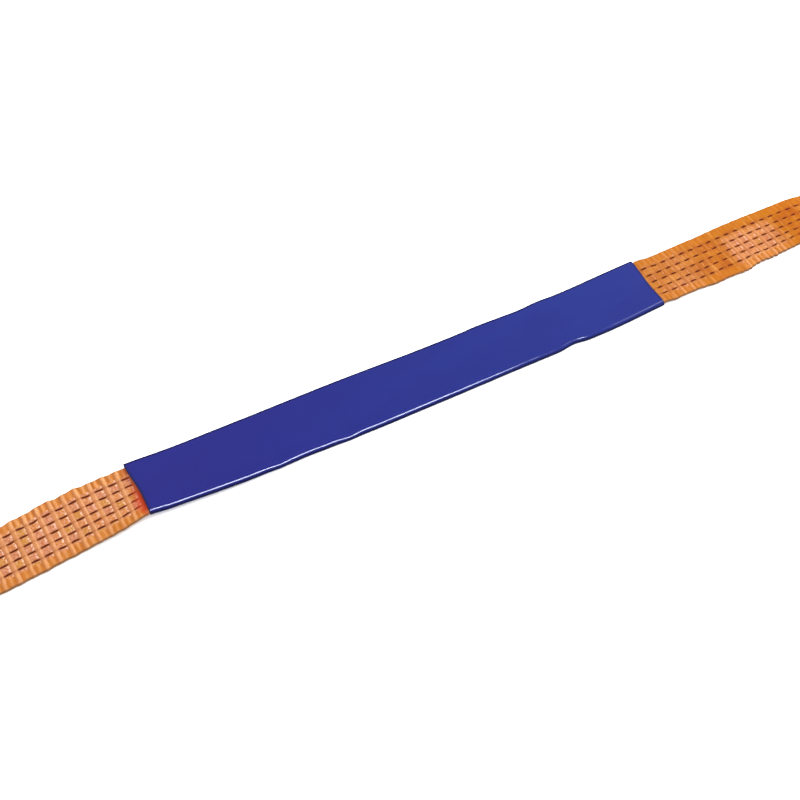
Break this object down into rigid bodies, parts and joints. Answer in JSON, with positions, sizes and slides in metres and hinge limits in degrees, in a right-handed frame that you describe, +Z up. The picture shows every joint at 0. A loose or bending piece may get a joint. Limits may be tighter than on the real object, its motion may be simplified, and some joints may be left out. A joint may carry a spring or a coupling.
{
  "type": "flat web sling",
  "caption": "Flat woven lifting sling with a sewn eye at each end and a glossy protective sleeve that slides along the web to cover the place where the load bears.",
  "frame": {"origin": "on the floor under the middle of the protective sleeve, on the sleeve's lower face", "axes": "+X along the sleeve towards the labelled end, +Z up from the floor, -Y the side the left leg leans to"},
  "size_m": [1.5134, 0.0977, 0.0458],
  "materials": {
    "web": "woven polyester, matt, orange with five dashed black tracer rows",
    "web_thread": "polyester sewing thread, matt",
    "wear_cloth": "dense woven nylon, matt",
    "wear_thread": "polyester sewing thread, matt",
    "sleeve_pvc": "glossy deep blue soft PVC",
    "label": "satin blue woven label, blank",
    "label_thread": "polyester sewing thread, matt"
  },
  "bodies": {
    "web": {"body_web": "web"},
    "sleeve": {"protective_sleeve": "sleeve_pvc"},
    "right_splice": {"right_splice_web": "web", "right_splice_stitching": "web_thread", "identification_label": "label", "label_stitching": "label_thread"},
    "right_eye": {"right_eye_web": "web", "right_wear_sleeve": "wear_cloth", "right_wear_stitching": "wear_thread"},
    "left_splice": {"left_splice_web": "web", "left_splice_stitching": "web_thread"},
    "left_eye": {"left_eye_web": "web", "left_wear_sleeve": "wear_cloth", "left_wear_stitching": "wear_thread"}
  },
  "joints": [
    {"name": "sleeve_slide", "type": "slide", "parent": "web", "child": "sleeve", "axis": [1, 0, 0], "range_m": [-0.02, 0.19]},
    {"name": "right_splice_bend", "type": "hinge", "parent": "web", "child": "right_splice", "pos_m": [0.43, 0, 0.0029], "axis": [0, -1, 0], "range_deg": [-90, 90]},
    {"name": "right_eye_bend", "type": "hinge", "parent": "right_splice", "child": "right_eye", "pos_m": [0.548, 0, 0.0044], "axis": [0, -1, 0], "range_deg": [-90, 90]},
    {"name": "left_splice_bend", "type": "hinge", "parent": "web", "child": "left_splice", "pos_m": [-0.42933, -0.01591, 0.0029], "axis": [-0.0872, 0.9962, 0], "range_deg": [-90, 90]},
    {"name": "left_eye_bend", "type": "hinge", "parent": "left_splice", "child": "left_eye", "pos_m": [-0.54688, -0.02619, 0.0044], "axis": [-0.0872, 0.9962, 0], "range_deg": [-90, 90]}
  ]
}
